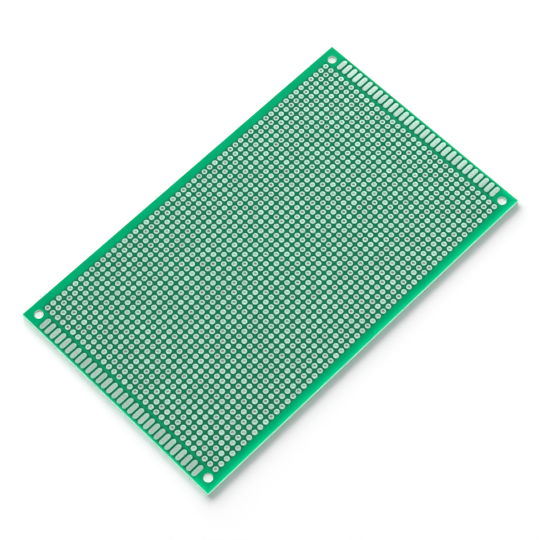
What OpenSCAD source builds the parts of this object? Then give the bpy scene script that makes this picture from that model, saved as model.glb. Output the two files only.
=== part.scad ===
// Prototype circuit board: a drilled glass-epoxy laminate with a solder mask on both faces,
// a grid of plated through holes and a row of solid contact pads along each short side.
// Millimetres. Origin at the centre of the underside, X along the length, Z up.

/* [Board] */
// Length of the board along X
board_l = 150; // [90:0.5:240]
// Width of the board along Y
board_w = 90; // [50:0.5:160]
// Thickness of the bare laminate
laminate_t = 1.5; // [0.7:0.05:3.1]
// Thickness of the solder mask on each face
mask_t = 0.05; // [0.03:0.01:0.1]

/* [Mounting holes] */
// Diameter of the four plain mounting holes
mount_d = 3.2; // [2:0.1:4]
// Distance of a mounting hole's centre from each of its two edges
mount_inset = 4; // [3.5:0.1:4.5]

/* [Hole grid] */
// Distance between neighbouring holes, and between neighbouring contact pads
pitch = 2.54; // [2.4:0.01:3.96]
// Least distance from a short side to the nearest hole's centre
field_inset_x = 7.5; // [7:0.1:12]
// Least distance from a long side to the nearest hole's centre
field_inset_y = 4.2; // [3:0.1:5]
// Finished diameter of a plated hole
hole_d = 1; // [0.6:0.05:1.1]
// Thickness of the metal on a hole's wall
barrel_t = 0.16; // [0.03:0.01:0.18]
// Outer diameter of the ring of metal around a hole
land_d = 1.85; // [1.5:0.05:2]
// Thickness of the metal on each face
land_t = 0.05; // [0.03:0.01:0.1]
// Bare gap between the metal on a face and the solder mask
mask_gap = 0.05; // [0.03:0.01:0.1]

/* [Contact pads] */
// Length of a contact pad, measured along X over its round ends
pad_l = 4.5; // [3:0.1:4.6]
// Width of a contact pad
pad_w = 1.7; // [1:0.05:1.9]
// Distance from a short side to the contact pads
pad_inset = 0.95; // [0.5:0.05:1]
// Rows of the grid that have no contact pad before or after them at each end
pad_rows_short = 1; // [1:1:3]

/* [Hidden] */
// The board is drawn in bands side by side along X, each with at most a few hundred holes
bands = 5;
band_list = [for (b = [1 : bands]) b];
faces = ["top", "bottom"];
$fn = 24;

laminate_color = [0.80, 0.90, 0.78];
mask_color = [0.05, 0.60, 0.40];
tin_color = [0.84, 0.87, 0.85];

cols = floor((board_l - 2 * field_inset_x) / pitch) + 1;
rows = floor((board_w - 2 * field_inset_y) / pitch) + 1;
pad_count = rows - 1 - 2 * pad_rows_short;
drill_d = hole_d + 2 * barrel_t;
skin_t = max(mask_t, land_t);
laminate_top = skin_t + laminate_t;

// Each face of the laminate, as [height, direction outwards]
function face_of(face) = face == "top" ? [laminate_top, 1] : [skin_t, -1];

// Centre of a column of holes, of a row of holes and of a contact pad
function col_x(i) = (i - (cols - 1) / 2) * pitch;
function row_y(j) = (j - (rows - 1) / 2) * pitch;
function pad_y(k) = (k - (pad_count - 1) / 2) * pitch;
pad_x = board_l / 2 - pad_inset - pad_l / 2;

// First column of a band, and the X of its left side, halfway between two columns
function first_col(b) = floor((b - 1) * cols / bands);
function band_x(b) = b == 1 ? -board_l / 2 : b > bands ? board_l / 2 : col_x(first_col(b)) - pitch / 2;
function band_cols(b) = [first_col(b) : first_col(b + 1) - 1];
// The short sides of the board that a band has, as signs of X
function band_ends(b) = concat(b == 1 ? [-1] : [], b == bands ? [1] : []);

module band_outline(b) {
    translate([band_x(b), -board_w / 2])
        square([band_x(b + 1) - band_x(b), board_w]);
}

module grid_circles(b, d) {
    for (i = band_cols(b), j = [0 : rows - 1])
        translate([col_x(i), row_y(j)])
            circle(d = d);
}

module mount_circles(b) {
    for (sx = band_ends(b), sy = [-1, 1])
        translate([sx * (board_l / 2 - mount_inset), sy * (board_w / 2 - mount_inset)])
            circle(d = mount_d);
}

// A straight bar with full round ends, along X
module pad_outline(l, w) {
    square([l - w, w], center = true);
    for (s = [-1, 1])
        translate([s * (l - w) / 2, 0])
            circle(d = w);
}

module pad_outlines(sx, grow) {
    for (k = [0 : pad_count - 1])
        translate([sx * pad_x, pad_y(k)])
            pad_outline(pad_l + 2 * grow, pad_w + 2 * grow);
}

// A flat layer of thickness t that lies on one face of the laminate
module on_face(face, t) {
    z = face_of(face)[0];
    outwards = face_of(face)[1];
    translate([0, 0, outwards > 0 ? z : z - t])
        linear_extrude(t)
            children();
}

module laminate(b) {
    color(laminate_color)
        translate([0, 0, skin_t])
            linear_extrude(laminate_t)
                difference() {
                    band_outline(b);
                    grid_circles(b, drill_d);
                    mount_circles(b);
                }
}

module solder_mask(b, face) {
    color(mask_color)
        on_face(face, mask_t)
            difference() {
                band_outline(b);
                grid_circles(b, land_d + 2 * mask_gap);
                mount_circles(b);
                for (sx = band_ends(b))
                    pad_outlines(sx, mask_gap);
            }
}

// One plated hole: the barrel on the drilled wall and a ring on each face, in one turned piece
module plated_hole() {
    inner = hole_d / 2;
    barrel = drill_d / 2;
    land = land_d / 2;
    low = skin_t - land_t;
    high = laminate_top + land_t;
    rotate_extrude()
        polygon([
            [inner, low],
            [land, low],
            [land, skin_t],
            [barrel, skin_t],
            [barrel, laminate_top],
            [land, laminate_top],
            [land, high],
            [inner, high]
        ]);
}

module plated_holes(b) {
    color(tin_color)
        for (i = band_cols(b), j = [0 : rows - 1])
            translate([col_x(i), row_y(j), 0])
                plated_hole();
}

module contact_pads(face) {
    color(tin_color)
        on_face(face, land_t)
            for (sx = [-1, 1])
                pad_outlines(sx, 0);
}

for (b = band_list) {
    laminate(b);
    solder_mask(b, "top");
    solder_mask(b, "bottom");
    plated_holes(b);
}
for (f = faces) {
    contact_pads(f);
}
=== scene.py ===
# %% [markdown]
# # A prototype circuit board
#
# This notebook dresses a bare prototyping board: a sheet of glass-epoxy with a green solder mask on
# both faces, a full grid of plated holes, and a row of contact pads along each short side. The solid
# model is loaded first, as a fixed frame, and it already has every piece at its real size. What is left
# is the finish of each surface, and the small roundings that hot solder leaves on the metal.

import math

import bpy
import numpy as np
from mathutils import Matrix, Vector


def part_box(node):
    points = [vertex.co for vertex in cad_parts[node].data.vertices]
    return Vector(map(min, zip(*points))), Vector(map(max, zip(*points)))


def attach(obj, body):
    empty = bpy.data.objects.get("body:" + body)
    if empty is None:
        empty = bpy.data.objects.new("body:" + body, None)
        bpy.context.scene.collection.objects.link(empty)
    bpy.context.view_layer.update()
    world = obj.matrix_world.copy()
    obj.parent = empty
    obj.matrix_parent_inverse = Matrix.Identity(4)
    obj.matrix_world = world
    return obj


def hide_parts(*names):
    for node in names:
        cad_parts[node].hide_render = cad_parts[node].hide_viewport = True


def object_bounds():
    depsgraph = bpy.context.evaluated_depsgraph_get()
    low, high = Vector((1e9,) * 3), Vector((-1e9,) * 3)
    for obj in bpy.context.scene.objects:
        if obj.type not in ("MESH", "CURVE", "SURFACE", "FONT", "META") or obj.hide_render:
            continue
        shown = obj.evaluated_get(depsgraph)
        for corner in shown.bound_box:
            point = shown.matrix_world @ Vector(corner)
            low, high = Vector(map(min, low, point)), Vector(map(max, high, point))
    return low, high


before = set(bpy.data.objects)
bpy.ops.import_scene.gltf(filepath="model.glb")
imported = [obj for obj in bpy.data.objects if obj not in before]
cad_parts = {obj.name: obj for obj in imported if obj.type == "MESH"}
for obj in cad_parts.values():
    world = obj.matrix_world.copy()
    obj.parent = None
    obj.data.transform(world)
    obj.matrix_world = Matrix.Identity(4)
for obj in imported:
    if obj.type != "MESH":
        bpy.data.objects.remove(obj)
cad_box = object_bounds()
print("nodes in the frame:", len(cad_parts))

# %% [markdown]
# ## Sizes
#
# The board's outline comes from the frame. The rest are the sizes that a board maker would quote, in
# millimetres: the pitch of the grid, the finished hole and the ring of metal around it. Blender works
# in metres here, so every length is multiplied by `MM` once, where it is used.

# %% Sizes of the board
MM = 0.001
PITCH = 2.54
HOLE_D = 1.0
DRILL_D = 1.32
RING_D = 1.85
MASK_OPENING_D = 1.95
# The metal on each face, and the mask beside it
SKIN_T = 0.05
PAD_L = 4.5
PAD_W = 1.7

board_low, board_high = (Vector(corner) / MM for corner in cad_box)
BOARD_L = board_high.x - board_low.x
BOARD_W = board_high.y - board_low.y
BOARD_T = board_high.z - board_low.z
BANDS = sorted(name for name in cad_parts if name.startswith("plated_holes_"))
print(f"board {BOARD_L:.1f} x {BOARD_W:.1f} x {BOARD_T:.2f} mm in {len(BANDS)} bands")


# %% Find the holes and the contact pads
def node_box(name):
    """The lowest and highest corners of a CAD node, in millimetres."""
    return [Vector(corner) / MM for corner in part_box(name)]


def hole_centres(name):
    """Where the holes of one band are, counted from the band's own box."""
    low, high = node_box(name)
    columns, rows = [round((high[k] - low[k] - RING_D) / PITCH) + 1 for k in (0, 1)]
    first_x = (low.x + high.x) / 2 - (columns - 1) * PITCH / 2
    first_y = (low.y + high.y) / 2 - (rows - 1) * PITCH / 2
    return [(first_x + i * PITCH, first_y + j * PITCH) for i in range(columns) for j in range(rows)]


holes = {name: hole_centres(name) for name in BANDS}
every_hole = [centre for band in holes.values() for centre in band]
FIELD_X = max(x for x, y in every_hole)
FIELD_Y = max(y for x, y in every_hole)

pads_low, pads_high = node_box("contact_pads_top")
PAD_COUNT = round((pads_high.y - pads_low.y - PAD_W) / PITCH) + 1
PAD_X = pads_high.x - PAD_L / 2
PAD_Y = pads_high.y
print(len(every_hole), "holes,", PAD_COUNT, "pads on a side")

# %% [markdown]
# ## The camera
#
# The grid of holes is a ruler: fitting a pinhole camera to all of its crossings gives where the
# photographer stood. The camera looks down steeply from beyond the board's lower corner, with a long
# lens, so the far end of the board is only a little smaller than the near end. It is placed by the point
# it aims at, two angles and a distance, which are easier to read than a matrix.

# %% Place the camera
AIM = Vector((-4.5, -2.7, BOARD_T))
CAMERA_TURN = math.radians(43.79)
CAMERA_DROP = math.radians(64.35)
CAMERA_AWAY = 589.8
CAMERA_ROLL = math.radians(1.35)
CAMERA_CLIP = 10
LENS = 115.44
SENSOR = 36

looking = Vector((
    math.cos(CAMERA_DROP) * math.sin(CAMERA_TURN),
    math.cos(CAMERA_DROP) * math.cos(CAMERA_TURN),
    -math.sin(CAMERA_DROP),
))
camera = bpy.data.objects.new("camera", bpy.data.cameras.new("camera"))
bpy.context.scene.collection.objects.link(camera)
camera.data.lens = LENS
camera.data.sensor_width = SENSOR
camera.data.clip_start = CAMERA_CLIP * MM
upright = looking.to_track_quat("-Z", "Y").to_matrix()
camera.matrix_world = (
    Matrix.Translation((AIM - looking * CAMERA_AWAY) * MM)
    @ upright.to_4x4()
    @ Matrix.Rotation(-CAMERA_ROLL, 4, "Z")
)
bpy.context.scene.camera = camera
print("camera at", [round(v / MM) for v in camera.location], "mm")

# %% [markdown]
# ## Helpers for materials
#
# Colours are picked as sRGB hex values, and Blender's sockets want linear light, so one function
# turns one into the other. A second function adds a shader node with its settings and its links in one
# call, which keeps each material short enough to read from top to bottom.
#
# The board's colours change with distance: from its edges, from the grid and from each hole. Three more
# functions measure those distances in the shader. An image would need to be very large to hold the same
# 1782 crisp rings, and would still blur close up.

# %% Colour and node helpers
def linear(hex_color):
    """An sRGB hex colour such as "#0ab279" as linear RGBA."""
    parts = [int(hex_color[k : k + 2], 16) / 255 for k in (1, 3, 5)]
    return [p / 12.92 if p <= 0.04045 else ((p + 0.055) / 1.055) ** 2.4 for p in parts] + [1.0]


def add_node(tree, kind, settings=None, links=None):
    """Adds one node: settings are its own properties or values of its sockets, links are its inputs."""
    made = tree.nodes.new(kind)
    for key, value in (settings or {}).items():
        if isinstance(key, int) or key in made.inputs:
            made.inputs[key].default_value = value
        else:
            setattr(made, key, value)
    for key, source in (links or {}).items():
        tree.links.new(source, made.inputs[key])
    return made


def new_material(name):
    """An empty node material and its tree."""
    material = bpy.data.materials.new(name)
    material.use_nodes = True
    material.node_tree.nodes.clear()
    return material, material.node_tree


# This green of the field between the rings carries painted shade
print("mask green, linear:", [round(part, 3) for part in linear("#18744e")])


# %% Distance helpers
# Cells of one pitch with a hole in the middle of each: cells per millimetre, and the first hole's place
GRID_PER_MM = (1 / PITCH, 1 / PITCH, 0)
GRID_SHIFT = (0.5 + FIELD_X / PITCH, 0.5 + FIELD_Y / PITCH, 0.5)
# The same for a side's contact pads, which are half a pitch out of step with the holes
PADS_PER_MM = (0, 1 / PITCH, 0)
PADS_SHIFT = (0.5, FIELD_Y / PITCH, 0.5)
CELL_MIDDLE = (0.5, 0.5, 0.5)


def surface_mm(tree):
    """Where a point of the surface lies in the board's own frame, in millimetres."""
    place = add_node(tree, "ShaderNodeTexCoord")
    scaled = add_node(
        tree, "ShaderNodeVectorMath", {"operation": "SCALE", "Scale": 1 / MM}, {0: place.outputs["Object"]}
    )
    return scaled.outputs[0]


def past_rectangle(tree, point, half_x, half_y):
    """How far a point lies past the nearest side of a rectangle round the middle, negative inside it."""
    size = add_node(tree, "ShaderNodeVectorMath", {"operation": "ABSOLUTE"}, {0: point})
    past = add_node(
        tree, "ShaderNodeVectorMath", {"operation": "SUBTRACT", 1: (half_x, half_y, 0)}, {0: size.outputs[0]}
    )
    past_xy = add_node(tree, "ShaderNodeSeparateXYZ", links={0: past.outputs[0]})
    larger = add_node(
        tree, "ShaderNodeMath", {"operation": "MAXIMUM"}, {0: past_xy.outputs["X"], 1: past_xy.outputs["Y"]}
    )
    return larger.outputs[0]


def cell_of_grid(tree, point, per_mm, shift):
    """A point's place counted in cells, and its way from the middle of its own cell in millimetres."""
    cells = add_node(
        tree, "ShaderNodeVectorMath", {"operation": "MULTIPLY_ADD", 1: per_mm, 2: shift}, {0: point}
    )
    in_one = add_node(tree, "ShaderNodeVectorMath", {"operation": "FRACTION"}, {0: cells.outputs[0]})
    centred = add_node(
        tree, "ShaderNodeVectorMath", {"operation": "SUBTRACT", 1: CELL_MIDDLE}, {0: in_one.outputs[0]}
    )
    centred_mm = add_node(
        tree, "ShaderNodeVectorMath", {"operation": "SCALE", "Scale": PITCH}, {0: centred.outputs[0]}
    )
    return cells.outputs[0], centred_mm.outputs[0]


print("first hole at", [round(-field, 2) for field in (FIELD_X, FIELD_Y)], "mm")

# %% [markdown]
# ## The solder mask
#
# The mask is a printed and cured epoxy film, a few hundredths of a millimetre thick, so what lies under
# it decides how it looks. Over bare laminate, light goes through the film, scatters in the pale sheet and
# comes back: a bright green that is brightest near the cut edges. Between the rings of the grid the copper
# shades the laminate, and the film turns a deep bottle green, darkest right beside each ring. One could
# model that with real scattering, but the effect is a fraction of a millimetre wide and would be noise
# at this size. So that glow and that shade are painted into the mask's colour, which follows distances
# worked out in the shader: to the nearest edge of the board, to the grid, to the rows of contact pads and
# to the nearest hole's centre. The painted glow is stronger along the near long side than the far one.
#
# The film is glossy but thin, and it takes the shape of the glass cloth under it. That breaks up the
# reflection a little, and the reflection itself is tinted green, because part of it comes from inside
# the film.

# %% Solder mask colours and sizes
# A painted glow at the cut edges, then the margin's own green and the cutter's pale line
MASK_PAINTED_EDGE_GLOW = linear("#00cc88")
MASK_MARGIN = linear("#00a26a")
MASK_MILLED = linear("#9ceac6")
# Painted shade of the copper over the grid, and darker painted shade right beside each ring
MASK_SHADED_FIELD = linear("#18744e")
MASK_PAINTED_SHADE_BESIDE_RING = linear("#125c3a")
# Painted shade of the copper between the contact pads
MASK_SHADED_BETWEEN_PADS = linear("#1c6a4a")
MASK_GLOSS = 0.3
MASK_GLOSS_TINT = linear("#10f0c0")
MASK_ROUGHNESS = 0.28
# The cutter leaves a pale line along the edge, and a painted glow reaches further in, strong on the near
# side
MILLED_W = 0.3
MILLED_SHARE = 0.9
PAINTED_GLOW_REACH = 2.6
PAINTED_GLOW_NEAR_SIDE = 1.0
PAINTED_GLOW_FAR_SIDE = 0.1
# Where the painted shade of the copper starts and ends, in millimetres past the outermost holes, past the
# pads and past the opening
FIELD_FADE = (0.7, 1.8)
PAD_ROW_FADE = (-0.3, 0.9)
PAD_SHADE_IN = 0.15
RING_SHADE_W = 0.35
# The printed film is a little thicker and thinner over patches of about 6 mm
MOTTLES_PER_MM = 0.16
THIN_FILM = 0.93
THICK_FILM = 1.07
# Nearly all values of a noise texture lie between these two
NOISE_LOW = 0.3
NOISE_HIGH = 0.7
# Spacing of the cloth's threads, at their real size, so that only a close view shows them
WEAVE_PITCH = 0.55
WEAVE_DEPTH = 0.002
WEAVE_STRENGTH = 0.6

# %% Solder mask distances
mask_material, tree = new_material("solder_mask_cured_epoxy")
point = surface_mm(tree)
past_edge = past_rectangle(tree, point, BOARD_L / 2, BOARD_W / 2)
past_field = past_rectangle(tree, point, FIELD_X, FIELD_Y)
from_hole = cell_of_grid(tree, point, GRID_PER_MM, GRID_SHIFT)[1]
hole_distance = add_node(tree, "ShaderNodeVectorMath", {"operation": "LENGTH"}, {0: from_hole})

either_side = add_node(tree, "ShaderNodeVectorMath", {"operation": "ABSOLUTE"}, {0: point})
from_pad_row = add_node(
    tree,
    "ShaderNodeVectorMath",
    {"operation": "SUBTRACT", 1: (PAD_X - PAD_SHADE_IN, 0, 0)},
    {0: either_side.outputs[0]},
)
past_pad_row = past_rectangle(tree, from_pad_row.outputs[0], PAD_L / 2, PAD_Y)
print("distances:", len(tree.nodes), "nodes")

# %% Solder mask shares of each green
point_xy = add_node(tree, "ShaderNodeSeparateXYZ", links={0: point})
# Painted glow along the cut edges, stronger on the near long side than on the far one
painted_glow_by_side = add_node(
    tree,
    "ShaderNodeMapRange",
    {"From Min": -BOARD_W / 2, "From Max": BOARD_W / 2, "To Min": PAINTED_GLOW_NEAR_SIDE, "To Max": PAINTED_GLOW_FAR_SIDE},
    {"Value": point_xy.outputs["Y"]},
)
glow = add_node(
    tree,
    "ShaderNodeMapRange",
    {"interpolation_type": "SMOOTHSTEP", "From Min": 0, "From Max": -PAINTED_GLOW_REACH, "To Max": 0},
    {"Value": past_edge, "To Min": painted_glow_by_side.outputs[0]},
)
milled = add_node(
    tree,
    "ShaderNodeMapRange",
    {
        "interpolation_type": "SMOOTHSTEP",
        "From Min": 0,
        "From Max": -MILLED_W,
        "To Min": MILLED_SHARE,
        "To Max": 0,
    },
    {"Value": past_edge},
)
# Painted shade over the grid of holes
painted_field_shade = add_node(
    tree,
    "ShaderNodeMapRange",
    {
        "interpolation_type": "SMOOTHSTEP",
        "From Min": FIELD_FADE[0],
        "From Max": FIELD_FADE[1],
        "To Min": 1,
        "To Max": 0,
    },
    {"Value": past_field},
)
# Painted shade along the rows of contact pads
painted_pad_row_shade = add_node(
    tree,
    "ShaderNodeMapRange",
    {
        "interpolation_type": "SMOOTHSTEP",
        "From Min": PAD_ROW_FADE[0],
        "From Max": PAD_ROW_FADE[1],
        "To Min": 1,
        "To Max": 0,
    },
    {"Value": past_pad_row},
)
# Painted shade in a narrow band right beside each ring
painted_ring_shade = add_node(
    tree,
    "ShaderNodeMapRange",
    {
        "interpolation_type": "SMOOTHSTEP",
        "From Min": MASK_OPENING_D / 2,
        "From Max": MASK_OPENING_D / 2 + RING_SHADE_W,
        "To Min": 1,
        "To Max": 0,
    },
    {"Value": hole_distance.outputs["Value"]},
)
print("with shares:", len(tree.nodes), "nodes")

# %% Solder mask colour
# The margin's green with the painted glow at the edges
margin_with_painted_glow = add_node(
    tree, "ShaderNodeMix", {"data_type": "RGBA", 6: MASK_MARGIN, 7: MASK_PAINTED_EDGE_GLOW}, {0: glow.outputs[0]}
)
# Painted shade over the field, darkest beside each ring
shaded_field_tone = add_node(
    tree,
    "ShaderNodeMix",
    {"data_type": "RGBA", 6: MASK_SHADED_FIELD, 7: MASK_PAINTED_SHADE_BESIDE_RING},
    {0: painted_ring_shade.outputs[0]},
)
plain_tone = add_node(
    tree,
    "ShaderNodeMix",
    {"data_type": "RGBA"},
    {0: painted_field_shade.outputs[0], 6: margin_with_painted_glow.outputs[2], 7: shaded_field_tone.outputs[2]},
)
# Painted shade between the pads
pad_row_with_painted_shade = add_node(
    tree,
    "ShaderNodeMix",
    {"data_type": "RGBA", 7: MASK_SHADED_BETWEEN_PADS},
    {0: painted_pad_row_shade.outputs[0], 6: plain_tone.outputs[2]},
)
whole_tone = add_node(
    tree,
    "ShaderNodeMix",
    {"data_type": "RGBA", 7: MASK_MILLED},
    {0: milled.outputs[0], 6: pad_row_with_painted_shade.outputs[2]},
)
mottle = add_node(
    tree,
    "ShaderNodeTexNoise",
    {"Scale": MOTTLES_PER_MM, "Detail": 4, "Roughness": 0.55},
    {"Vector": point},
)
film = add_node(
    tree,
    "ShaderNodeMapRange",
    {"From Min": NOISE_LOW, "From Max": NOISE_HIGH, "To Min": THIN_FILM, "To Max": THICK_FILM},
    {"Value": mottle.outputs["Fac"]},
)
mask_tone = add_node(
    tree,
    "ShaderNodeVectorMath",
    {"operation": "SCALE"},
    {0: whole_tone.outputs[2], "Scale": film.outputs[0]},
)
print("with colour:", len(tree.nodes), "nodes")

# %% Solder mask relief and shader
cloth = add_node(
    tree,
    "ShaderNodeVectorMath",
    {"operation": "SCALE", "Scale": 2 * math.pi / WEAVE_PITCH},
    {0: point},
)
cloth_xy = add_node(tree, "ShaderNodeSeparateXYZ", links={0: cloth.outputs[0]})
warp = add_node(tree, "ShaderNodeMath", {"operation": "SINE"}, {0: cloth_xy.outputs["X"]})
weft = add_node(tree, "ShaderNodeMath", {"operation": "SINE"}, {0: cloth_xy.outputs["Y"]})
weave = add_node(tree, "ShaderNodeMath", {"operation": "MULTIPLY"}, {0: warp.outputs[0], 1: weft.outputs[0]})
relief = add_node(
    tree,
    "ShaderNodeBump",
    {"Strength": WEAVE_STRENGTH, "Distance": WEAVE_DEPTH * MM},
    {"Height": weave.outputs[0]},
)
# Cured epoxy: a clear, smooth gloss over a deep colour
mask_shader = add_node(
    tree,
    "ShaderNodeBsdfPrincipled",
    {"Roughness": MASK_ROUGHNESS, "Specular IOR Level": MASK_GLOSS, "Specular Tint": MASK_GLOSS_TINT},
    {"Base Color": mask_tone.outputs[0], "Normal": relief.outputs[0]},
)
add_node(tree, "ShaderNodeOutputMaterial", links={"Surface": mask_shader.outputs[0]})
print(mask_material.name, len(tree.nodes), "nodes")

# %% [markdown]
# ## The laminate
#
# The sheet under the mask is woven glass cloth pressed in epoxy resin. It is seen only on the cut edges
# and inside the mounting holes, as a pale mint-white stripe. The cutter leaves it matt, and the plies of
# cloth show as faint lines along it.
#
# Light that falls on the board's face also spreads inside the sheet and leaves it through the cut sides,
# most of all just under the mask. Real scattering would be slow and noisy in a sheet this thin, so that
# light is painted on: the outer sides get a little green glow of their own, which grows from the bottom
# to the top.

# %% Laminate colours and sizes
LAMINATE = linear("#d4f6e8")
PLY_LINE = linear("#bfe6d0")
# The painted glow of the cut sides
LAMINATE_PAINTED_GLOW = linear("#60b89c")
NO_LIGHT = linear("#000000")
LAMINATE_ROUGHNESS = 0.6
LAMINATE_IOR = 1.55
PLIES = 8
PLY_LINE_SHARE = 1.3
# Bundles of fibres about 0.45 mm apart, because a single fibre is far too fine to show
FIBRES_PER_MM = 2.2
# Strength of the sides' painted glow at the bottom and at the top, and where it starts inside the sides
GLOW_AT_BOTTOM = 0.0
GLOW_AT_TOP = 1.35
GLOW_DEPTH = (-0.6, -0.1)

# %% Laminate material
laminate_material, tree = new_material("glass_epoxy_laminate_cut")
point = surface_mm(tree)
point_xyz = add_node(tree, "ShaderNodeSeparateXYZ", links={0: point})
fibres = add_node(
    tree, "ShaderNodeTexNoise", {"Scale": FIBRES_PER_MM, "Detail": 3, "Roughness": 0.6}, {"Vector": point}
)
ply_wave = add_node(
    tree,
    "ShaderNodeMath",
    {"operation": "MULTIPLY", 1: 2 * math.pi * PLIES / BOARD_T},
    {0: point_xyz.outputs["Z"]},
)
ply_lines = add_node(tree, "ShaderNodeMath", {"operation": "SINE"}, {0: ply_wave.outputs[0]})
ply_share = add_node(
    tree, "ShaderNodeMapRange", {"From Min": -1, "To Max": PLY_LINE_SHARE}, {"Value": ply_lines.outputs[0]}
)
fibre_share = add_node(
    tree, "ShaderNodeMath", {"operation": "MULTIPLY"}, {0: ply_share.outputs[0], 1: fibres.outputs["Fac"]}
)
laminate_tone = add_node(
    tree, "ShaderNodeMix", {"data_type": "RGBA", 6: LAMINATE, 7: PLY_LINE}, {0: fibre_share.outputs[0]}
)
from_bottom = add_node(
    tree,
    "ShaderNodeMapRange",
    {"From Max": BOARD_T, "To Min": GLOW_AT_BOTTOM, "To Max": GLOW_AT_TOP},
    {"Value": point_xyz.outputs["Z"]},
)
at_side = add_node(
    tree,
    "ShaderNodeMapRange",
    {"From Min": GLOW_DEPTH[0], "From Max": GLOW_DEPTH[1]},
    {"Value": past_rectangle(tree, point, BOARD_L / 2, BOARD_W / 2), "To Max": from_bottom.outputs[0]},
)
# Painted glow on the outer sides, none at the bottom and most at the top
painted_side_glow = add_node(
    tree,
    "ShaderNodeMix",
    {"data_type": "RGBA", "clamp_factor": False, 6: NO_LIGHT, 7: LAMINATE_PAINTED_GLOW},
    {0: at_side.outputs[0]},
)
# Cut glass-epoxy: pale and matt, with no gloss line
laminate_shader = add_node(
    tree,
    "ShaderNodeBsdfPrincipled",
    {"Roughness": LAMINATE_ROUGHNESS, "IOR": LAMINATE_IOR, "Emission Strength": 1.0},
    {"Base Color": laminate_tone.outputs[2], "Emission Color": painted_side_glow.outputs[2]},
)
add_node(tree, "ShaderNodeOutputMaterial", links={"Surface": laminate_shader.outputs[0]})
print(laminate_material.name, len(tree.nodes), "nodes")

# %% [markdown]
# ## The tin
#
# The copper is dipped in molten tin and blown level with hot air. That leaves a soft, silvery skin that
# is thinner towards the rim of each ring, so every ring is a very shallow dome. Tin is a metal, so it has
# a coloured reflection and no diffuse light of its own, and its fine ripples make the reflection soft.
#
# The rims carry a painted reflection: they are tinted mint, as they would mirror the green mask beside
# them, and at this size that tint is most of what tells ring from mask. Each hole is dulled a little by
# chance, and its barrel is darker still, by a random amount. The contact pads are greyer, with a painted
# mint reflection round their edge. Rings and pads share one function: round a hole the painted reflection
# follows the distance to its centre, and on a pad the distance to the bar that runs along its middle.

# %% Tin colours and sizes
TIN_RING = linear("#dafff0")
# The rings' rim: a painted reflection of the green mask
TIN_RING_RIM_REFLECTION = linear("#b4ffe2")
TIN_PAD = linear("#cbdad2")
# The pads' rim: a painted reflection of the green mask
TIN_PAD_RIM_REFLECTION = linear("#a6ffdc")
TIN_SMOOTH = 0.24
TIN_ROUGH = 0.42
# Ripples of about 0.6 mm, coarser than real ones, which would be lost between two pixels
RIPPLES_PER_MM = 1.7
RIPPLE_DEPTH = 0.006
# Distance from the axis at which the painted mint reflection of the rim begins
RING_REFLECTION_FROM = 0.62
PAD_REFLECTION_FROM = 0.3
# The dullest hole's brightness, and the darkest barrel's with the range of chance that darkens it
DULLEST = 0.88
DARKEST_BARREL = 0.5
BARREL_DARKENING_CHANCE = (0.05, 0.7)
BARREL_EDGE = (0.002, 0.012)


# %% Tin material
def bar_offset(tree, point, bar_half):
    """How far a point lies past either end of its pad's middle bar, along X."""
    either_side = add_node(tree, "ShaderNodeVectorMath", {"operation": "ABSOLUTE"}, {0: point})
    from_middle = add_node(
        tree,
        "ShaderNodeVectorMath",
        {"operation": "SUBTRACT", 1: (PAD_X, 0, 0)},
        {0: either_side.outputs[0]},
    )
    both_ends = add_node(
        tree, "ShaderNodeVectorMath", {"operation": "ABSOLUTE"}, {0: from_middle.outputs[0]}
    )
    past_end = add_node(
        tree,
        "ShaderNodeVectorMath",
        {"operation": "SUBTRACT", 1: (bar_half, 0, 0)},
        {0: both_ends.outputs[0]},
    )
    beyond = add_node(
        tree, "ShaderNodeVectorMath", {"operation": "MAXIMUM", 1: (0, 0, 0)}, {0: past_end.outputs[0]}
    )
    along = add_node(
        tree, "ShaderNodeVectorMath", {"operation": "MULTIPLY", 1: (1, 0, 0)}, {0: beyond.outputs[0]}
    )
    return along.outputs[0]


def barrel_share(tree, distance, chance):
    """Brightness of the metal: 1 on the ring, and less in a hole's barrel, by chance."""
    # A random darkening inside the barrel, for each hole
    barrel_darkening = add_node(
        tree,
        "ShaderNodeMapRange",
        {
            "interpolation_type": "SMOOTHSTEP",
            "From Min": BARREL_DARKENING_CHANCE[0],
            "From Max": BARREL_DARKENING_CHANCE[1],
            "To Min": DARKEST_BARREL,
        },
        {"Value": chance},
    )
    in_barrel = add_node(
        tree,
        "ShaderNodeMapRange",
        {"From Min": HOLE_D / 2 + BARREL_EDGE[0], "From Max": HOLE_D / 2 + BARREL_EDGE[1]},
        {"Value": distance, "To Min": barrel_darkening.outputs[0]},
    )
    return in_barrel.outputs[0]


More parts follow.
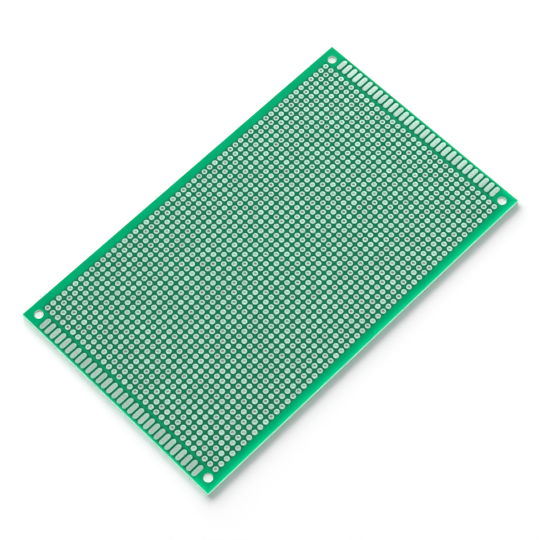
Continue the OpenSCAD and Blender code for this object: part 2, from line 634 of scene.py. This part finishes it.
def tin_material(name, middle, rim, rim_from, bar_half):
    """Tin that turns from middle colour to a painted reflection at the rim: round a hole, or with bar_half
    round a pad's bar.
    """
    material, tree = new_material(name)
    point = surface_mm(tree)
    on_pads = bar_half > 0
    cell, offset = cell_of_grid(
        tree, point, PADS_PER_MM if on_pads else GRID_PER_MM, PADS_SHIFT if on_pads else GRID_SHIFT
    )
    if on_pads:
        along = bar_offset(tree, point, bar_half)
        from_bar = add_node(tree, "ShaderNodeVectorMath", {"operation": "ADD"}, {0: along, 1: offset})
        offset = from_bar.outputs[0]
    distance = add_node(tree, "ShaderNodeVectorMath", {"operation": "LENGTH"}, {0: offset})
    # Painted reflection of the green mask, from rim_from out to the edge
    painted_reflection_share = add_node(
        tree,
        "ShaderNodeMapRange",
        {
            "interpolation_type": "SMOOTHSTEP",
            "From Min": rim_from,
            "From Max": (PAD_W if on_pads else RING_D) / 2,
        },
        {"Value": distance.outputs["Value"]},
    )
    tone = add_node(
        tree, "ShaderNodeMix", {"data_type": "RGBA", 6: middle, 7: rim}, {0: painted_reflection_share.outputs[0]}
    )

    which_cell = add_node(tree, "ShaderNodeVectorMath", {"operation": "FLOOR"}, {0: cell})
    chance = add_node(
        tree, "ShaderNodeTexWhiteNoise", {"noise_dimensions": "3D"}, {"Vector": which_cell.outputs[0]}
    )
    dulled = add_node(tree, "ShaderNodeMapRange", {"To Min": DULLEST}, {"Value": chance.outputs["Value"]})
    brightness = dulled.outputs[0]
    if not on_pads:
        chances = add_node(tree, "ShaderNodeSeparateColor", links={0: chance.outputs["Color"]})
        barrel = barrel_share(tree, distance.outputs["Value"], chances.outputs["Green"])
        both = add_node(tree, "ShaderNodeMath", {"operation": "MULTIPLY"}, {0: brightness, 1: barrel})
        brightness = both.outputs[0]
    darkened_tone = add_node(
        tree, "ShaderNodeVectorMath", {"operation": "SCALE"}, {0: tone.outputs[2], "Scale": brightness}
    )

    ripples = add_node(
        tree,
        "ShaderNodeTexNoise",
        {"Scale": RIPPLES_PER_MM, "Detail": 3, "Roughness": 0.5},
        {"Vector": point},
    )
    roughness = add_node(
        tree,
        "ShaderNodeMapRange",
        {"From Min": NOISE_LOW, "From Max": NOISE_HIGH, "To Min": TIN_SMOOTH, "To Max": TIN_ROUGH},
        {"Value": ripples.outputs["Fac"]},
    )
    relief = add_node(
        tree, "ShaderNodeBump", {"Distance": RIPPLE_DEPTH * MM}, {"Height": ripples.outputs["Fac"]}
    )
    shader = add_node(
        tree,
        "ShaderNodeBsdfPrincipled",
        {"Metallic": 1.0},
        {"Base Color": darkened_tone.outputs[0], "Roughness": roughness.outputs[0], "Normal": relief.outputs[0]},
    )
    add_node(tree, "ShaderNodeOutputMaterial", links={"Surface": shader.outputs[0]})
    print(name, len(tree.nodes), "nodes")
    return material


# Levelled tin: bright and silvery, with soft reflections
ring_tin = tin_material("hot_air_levelled_tin_on_rings", TIN_RING, TIN_RING_RIM_REFLECTION, RING_REFLECTION_FROM, 0)
pad_tin = tin_material(
    "hot_air_levelled_tin_on_pads", TIN_PAD, TIN_PAD_RIM_REFLECTION, PAD_REFLECTION_FROM, (PAD_L - PAD_W) / 2
)

# %% Dress the solid model
FINISHES = {
    "laminate": laminate_material,
    "solder_mask": mask_material,
    "plated_holes": ring_tin,
    "contact_pads": pad_tin,
}

for name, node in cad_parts.items():
    for kind, material in FINISHES.items():
        if name.startswith(kind):
            node.data.materials.clear()
            node.data.materials.append(material)
print(len(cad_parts), "nodes in", len(FINISHES), "finishes")

# %% [markdown]
# ## The tin as hot air leaves it
#
# The solid model has every ring and pad as a flat plate of metal with sharp corners. Molten tin doesn't
# lie like that: surface tension draws it into a shallow cushion that is thickest in the middle of the
# metal, rounds over into the hole and thins out at the rim, and the air knife pushes it a little to one
# side. The cushions are what gives each ring its own small highlight, so they are worth real geometry.
#
# A plated hole is a turned shape. One profile, swept round in a few steps, makes a closed eyelet: the
# cushion on the upper face, the barrel, the cushion on the underside, and the hidden outside of the
# barrel. All the eyelets of a band are built at once with numpy and joined into one mesh. The heights
# vary from hole to hole with a seeded generator, so the board is the same on every run.

# %% The profile of a plated hole
SEGMENTS = 16
# The lowest cushion as a share of the tallest, and how far the tin may lean to one side
CUSHION_LOW = 0.72
CUSHION_LEAN = 0.42
SEED = 7
rng = np.random.default_rng(SEED)

ring_r, hole_r, drill_r = RING_D / 2, HOLE_D / 2, DRILL_D / 2
METAL_TOP = BOARD_T - SKIN_T
# How far the crest of the cushion is from the hole's wall
CREST = 0.22
# Radius, height of the surface that carries the tin, and share of the cushion's height above it
eyelet_profile = np.array([
    (hole_r, METAL_TOP - SKIN_T, 0.0),
    (hole_r + 0.01, METAL_TOP, 0.35),
    (hole_r + 0.05, METAL_TOP, 0.78),
    (hole_r + 0.12, METAL_TOP, 0.97),
    (hole_r + CREST, METAL_TOP, 1.0),
    (ring_r - 0.1, METAL_TOP, 0.84),
    (ring_r - 0.03, METAL_TOP, 0.46),
    (ring_r, METAL_TOP, 0.0),
    (drill_r, METAL_TOP, 0.0),
    (drill_r, SKIN_T, 0.0),
    (ring_r, SKIN_T, 0.0),
    (ring_r - 0.08, SKIN_T, -0.75),
    (hole_r + CREST, SKIN_T, -1.0),
    (hole_r + 0.06, SKIN_T, -0.8),
    (hole_r, SKIN_T + SKIN_T, 0.0),
])
print("eyelet:", len(eyelet_profile), "points in", SEGMENTS, "steps")


# %% Turn the plated holes
def joined_mesh(name, points, faces, material, replaced):
    """One smooth mesh from points in millimetres, riding on the board in place of a CAD node."""
    mesh = bpy.data.meshes.new(name)
    mesh.from_pydata((points * MM).tolist(), [], faces)
    mesh.polygons.foreach_set("use_smooth", np.ones(len(faces), dtype=bool))
    mesh.materials.append(material)
    mesh.update()
    piece = bpy.data.objects.new(name, mesh)
    bpy.context.scene.collection.objects.link(piece)
    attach(piece, "root")
    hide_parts(replaced)
    return piece


def turned_eyelets(centres):
    """Points and faces of one eyelet round each centre."""
    rings = len(eyelet_profile)
    count = len(centres)
    angle = np.arange(SEGMENTS) * 2 * np.pi / SEGMENTS
    height = rng.uniform(CUSHION_LOW, 1.0, count) * SKIN_T
    lean = rng.uniform(0, CUSHION_LEAN, count)
    lean_way = rng.uniform(0, 2 * np.pi, count)
    swell = (1 + lean[:, None] * np.cos(angle[None] - lean_way[:, None])) / (1 + lean[:, None])
    radius, base, share = eyelet_profile.T
    centre = np.array(centres)
    x = centre[:, 0, None, None] + radius[None, :, None] * np.cos(angle)[None, None]
    y = centre[:, 1, None, None] + radius[None, :, None] * np.sin(angle)[None, None]
    z = base[None, :, None] + share[None, :, None] * (height[:, None] * swell)[:, None, :]
    points = np.stack([x, y, np.broadcast_to(z, x.shape)], axis=-1).reshape(-1, 3)

    # Each quad joins two neighbours of one ring of points to the same two of the next ring
    ring, step = np.meshgrid(np.arange(rings), np.arange(SEGMENTS), indexing="ij")
    here, next_ring = ring * SEGMENTS, (ring + 1) % rings * SEGMENTS
    next_step = (step + 1) % SEGMENTS
    quads = np.stack([here + step, next_ring + step, next_ring + next_step, here + next_step], axis=-1)
    first_points = np.arange(count) * rings * SEGMENTS
    faces = (quads.reshape(1, -1, 4) + first_points[:, None, None]).reshape(-1, 4)
    return points, faces.tolist()


for name in BANDS:
    points, faces = turned_eyelets(holes[name])
    eyelets = joined_mesh(name.replace("plated_holes", "tinned_eyelets"), points, faces, ring_tin, name)
    print(eyelets.name, len(holes[name]), "holes,", 2 * len(faces), "triangles")

# %% [markdown]
# ## The contact pads
#
# A contact pad is a straight bar with round ends. Its cushion is made by shrinking that outline in a few
# steps and lifting each step, and the last step is closed with one flat face. The tin gathers at one end
# or the other, so each pad leans a little along its length.

# %% Cushion the contact pads
PAD_END_STEPS = 9
# How far each outline lies inside the pad's edge, and its share of the cushion's height
PAD_STEPS = ((0.0, 0.0), (0.04, 0.5), (0.12, 0.8), (0.3, 0.96), (0.55, 1.0))
PAD_CUSHION_LOW = 0.8
PAD_CUSHION_LEAN = 0.12


def bar_outline(inset):
    """The outline of a pad, shrunk by an inset, as points in its own frame."""
    r = PAD_W / 2 - inset
    half = (PAD_L - PAD_W) / 2
    right = np.linspace(-np.pi / 2, np.pi / 2, PAD_END_STEPS)
    ends = [(half + r * np.cos(t), r * np.sin(t)) for t in right]
    return np.array(ends + [(-px, -py) for px, py in ends])


def cushioned_pads(level, outwards):
    """Points and faces of every pad on one face of the board."""
    outlines = [bar_outline(inset) for inset, share in PAD_STEPS]
    around = len(outlines[0])
    points, faces, caps = [], [], []
    start = 0
    for side in (-1, 1):
        for k in range(PAD_COUNT):
            height = rng.uniform(PAD_CUSHION_LOW, 1.0) * SKIN_T
            lean = rng.uniform(-PAD_CUSHION_LEAN, PAD_CUSHION_LEAN)
            centre = np.array([side * PAD_X, (k - (PAD_COUNT - 1) / 2) * PITCH])
            for outline, (inset, share) in zip(outlines, PAD_STEPS):
                swell = (1 + lean * outline[:, 0] / (PAD_L / 2)) / (1 + abs(lean))
                z = level + outwards * share * height * swell
                points.append(np.column_stack([outline + centre, z]))
            for step in range(len(PAD_STEPS) - 1):
                low = start + step * around
                for a in range(around):
                    b = (a + 1) % around
                    faces.append((low + a, low + b, low + around + b, low + around + a))
            top = start + (len(PAD_STEPS) - 1) * around
            caps.append(tuple(range(top, top + around)))
            caps.append(tuple(range(start + around - 1, start - 1, -1)))
            start += len(PAD_STEPS) * around
    return np.concatenate(points), faces + caps


for face_name, level, outwards in (("top", METAL_TOP, 1), ("bottom", SKIN_T, -1)):
    points, faces = cushioned_pads(level, outwards)
    if outwards < 0:
        faces = [tuple(reversed(face)) for face in faces]
    pads = joined_mesh(f"tinned_pads_{face_name}", points, faces, pad_tin, f"contact_pads_{face_name}")
    print(pads.name, PAD_COUNT * 2, "pads,", sum(len(face) - 2 for face in faces), "triangles")

# %% [markdown]
# ## The floor
#
# The photograph was taken on a white sweep: paper that hangs behind the object and runs on under it. Only
# the paper's shadow says where the light comes from, so it has to stay. The floor is plain paper with a
# little light of its own, which only the camera sees, straight or in reflections or through glass. That
# takes the paper to white without more light on the board. It is least beside the board and grows with
# distance, so the shadow stays deep there. Its tint is slightly pink, to match the photographed paper.
#
# Under the board the paper has more of that light. The board's holes are small, and lamps alone leave
# them black, while real paper and laminate pass light on from all sides, and show pale grey through them.

# %% Floor sizes and colours
FLOOR_SIDE = 4000
FLOOR_BELOW = 0.02
PAPER = linear("#fafafa")
SWEEP_TINT = linear("#ffe7f3")
# The paper's own light past the shadow, the shadow's reach within which that light fades out as painted
# shadow, and where full light begins and is reached
LIGHT_OF_SWEEP = 0.045
SHADOW_REACH = 8.0
SWEEP_NEAR = 10
SWEEP_FAR = 400
# The same as a painted pool of light under the grid and under the ends of the board, and where it stops
# inside the edge
LIGHT_UNDER_FIELD = 0.34
LIGHT_UNDER_ENDS = 0.48
UNDER_EDGE = (-1.5, -1.0)

half = FLOOR_SIDE / 2 * MM
floor_mesh = bpy.data.meshes.new("floor")
corners = [(-half, -half, 0), (half, -half, 0), (half, half, 0), (-half, half, 0)]
floor_mesh.from_pydata(corners, [], [(0, 1, 2, 3)])
floor = bpy.data.objects.new("floor", floor_mesh)
bpy.context.scene.collection.objects.link(floor)
floor.location.z = -FLOOR_BELOW * MM
print("floor", FLOOR_SIDE, "mm square")


# %% Floor material
def seen_share(tree):
    """1 for what the camera sees, straight or by reflection or through glass, and 0 for light on things."""
    rays = add_node(tree, "ShaderNodeLightPath")
    straight_or_glossy = add_node(
        tree,
        "ShaderNodeMath",
        {"operation": "MAXIMUM"},
        {0: rays.outputs["Is Camera Ray"], 1: rays.outputs["Is Glossy Ray"]},
    )
    seen = add_node(
        tree,
        "ShaderNodeMath",
        {"operation": "MAXIMUM"},
        {0: straight_or_glossy.outputs[0], 1: rays.outputs["Is Transmission Ray"]},
    )
    return seen.outputs[0]


floor_material, tree = new_material("white_sweep")
point = surface_mm(tree)
past_board = past_rectangle(tree, point, BOARD_L / 2, BOARD_W / 2)
from_middle = add_node(tree, "ShaderNodeVectorMath", {"operation": "ABSOLUTE"}, {0: point})
from_middle_xy = add_node(tree, "ShaderNodeSeparateXYZ", links={0: from_middle.outputs[0]})
# A painted pool of light under the board, brighter under its ends, seen through the holes
painted_light_under_board = add_node(
    tree,
    "ShaderNodeMapRange",
    {
        "From Min": FIELD_X + RING_D / 2,
        "From Max": FIELD_X + RING_D,
        "To Min": LIGHT_UNDER_FIELD,
        "To Max": LIGHT_UNDER_ENDS,
    },
    {"Value": from_middle_xy.outputs["X"]},
)
# Painted shadow: the paper's own light fades out towards the board
past_shadow = add_node(
    tree, "ShaderNodeMapRange", {"From Max": SHADOW_REACH, "To Max": LIGHT_OF_SWEEP}, {"Value": past_board}
)
own_light = add_node(
    tree,
    "ShaderNodeMapRange",
    {"From Min": UNDER_EDGE[0], "From Max": UNDER_EDGE[1]},
    {"Value": past_board, "To Min": painted_light_under_board.outputs[0], "To Max": past_shadow.outputs[0]},
)
far_light = add_node(
    tree,
    "ShaderNodeMapRange",
    {"interpolation_type": "SMOOTHSTEP", "From Min": SWEEP_NEAR, "From Max": SWEEP_FAR},
    {"Value": past_board, "To Min": own_light.outputs[0]},
)
lift = add_node(
    tree, "ShaderNodeMath", {"operation": "MULTIPLY"}, {0: seen_share(tree), 1: far_light.outputs[0]}
)
paper = add_node(tree, "ShaderNodeBsdfDiffuse", {"Color": PAPER})
shine = add_node(tree, "ShaderNodeEmission", {"Color": SWEEP_TINT}, {"Strength": lift.outputs[0]})
both = add_node(tree, "ShaderNodeAddShader", links={0: paper.outputs[0], 1: shine.outputs[0]})
add_node(tree, "ShaderNodeOutputMaterial", links={"Surface": both.outputs[0]})
floor_mesh.materials.append(floor_material)
print(floor_material.name, len(tree.nodes), "nodes")

# %% [markdown]
# ## The light
#
# Two soft shadows show beside the near edges, one much wider than the other. Their falloff is the lamp's
# own shape seen past the edge of the board, so it gives the lamp: a wide strip low behind the board, a
# little to the right. It is left out of reflections, because the gloss would show it as a hard band. A
# weak softbox at the side gives the glare of the pads at the far end.
#
# The sky is the soft light from all round. Where it is seen in reflections it is white low down and
# greyer high up, as a room is above a photographer's table, so the tin and the gloss aren't washed out.

# %% World
SKY_ON_BOARD = 0.33
LOW_SKY = 1.0
HIGH_SKY = 0.665
OVERHEAD = 0.1
# Heights at which the sky changes, as the upward part of a direction of length 1
LOW_SKY_ENDS = (0.8, 0.885)
OVERHEAD_STARTS = (0.91, 0.96)

bpy.context.scene.view_settings.view_transform = "Standard"
world = bpy.data.worlds.new("studio")
bpy.context.scene.world = world
world.use_nodes = True
tree = world.node_tree
tree.nodes.clear()
place = add_node(tree, "ShaderNodeTexCoord")
way_up = add_node(tree, "ShaderNodeSeparateXYZ", links={0: place.outputs["Generated"]})
low_sky = add_node(
    tree,
    "ShaderNodeMapRange",
    {
        "interpolation_type": "SMOOTHSTEP",
        "From Min": LOW_SKY_ENDS[0],
        "From Max": LOW_SKY_ENDS[1],
        "To Min": LOW_SKY,
        "To Max": HIGH_SKY,
    },
    {"Value": way_up.outputs["Z"]},
)
overhead = add_node(
    tree,
    "ShaderNodeMapRange",
    {
        "interpolation_type": "SMOOTHSTEP",
        "From Min": OVERHEAD_STARTS[0],
        "From Max": OVERHEAD_STARTS[1],
        "To Max": OVERHEAD,
    },
    {"Value": way_up.outputs["Z"]},
)
seen_sky = add_node(
    tree, "ShaderNodeMath", {"operation": "ADD"}, {0: low_sky.outputs[0], 1: overhead.outputs[0]}
)
strength = add_node(
    tree,
    "ShaderNodeMapRange",
    {"To Min": SKY_ON_BOARD},
    {"Value": seen_share(tree), "To Max": seen_sky.outputs[0]},
)
sky = add_node(tree, "ShaderNodeBackground", {"Color": linear("#ffffff")}, {"Strength": strength.outputs[0]})
add_node(tree, "ShaderNodeOutputWorld", links={"Surface": sky.outputs[0]})
print(world.name, len(tree.nodes), "nodes")


# %% Lamps
def add_lamp(name, direction, away, width, height, power):
    """A flat lamp that looks at the board from a direction, with metres for lengths and watts for power."""
    lamp = bpy.data.objects.new(name, bpy.data.lights.new(name, "AREA"))
    bpy.context.scene.collection.objects.link(lamp)
    lamp.data.shape = "RECTANGLE"
    lamp.data.size = width
    lamp.data.size_y = height
    lamp.data.energy = power
    way = Vector(direction).normalized()
    lamp.location = way * away
    lamp.rotation_euler = way.to_track_quat("Z", "Y").to_euler()
    return lamp


BACK_LAMP_WAY = (0.28, 0.88, 0.36)
SOFTBOX_WAY = (0.65, 0.4, 0.66)
low_back_lamp = add_lamp("low_back_lamp", BACK_LAMP_WAY, away=2.2, width=3.6, height=1.7, power=136.0)
low_back_lamp.visible_glossy = False
side_softbox = add_lamp("side_softbox", SOFTBOX_WAY, away=2.0, width=0.7, height=0.7, power=3.4)
for lamp in (low_back_lamp, side_softbox):
    print(lamp.name, [round(v, 2) for v in lamp.location], "m,", lamp.data.energy, "W")
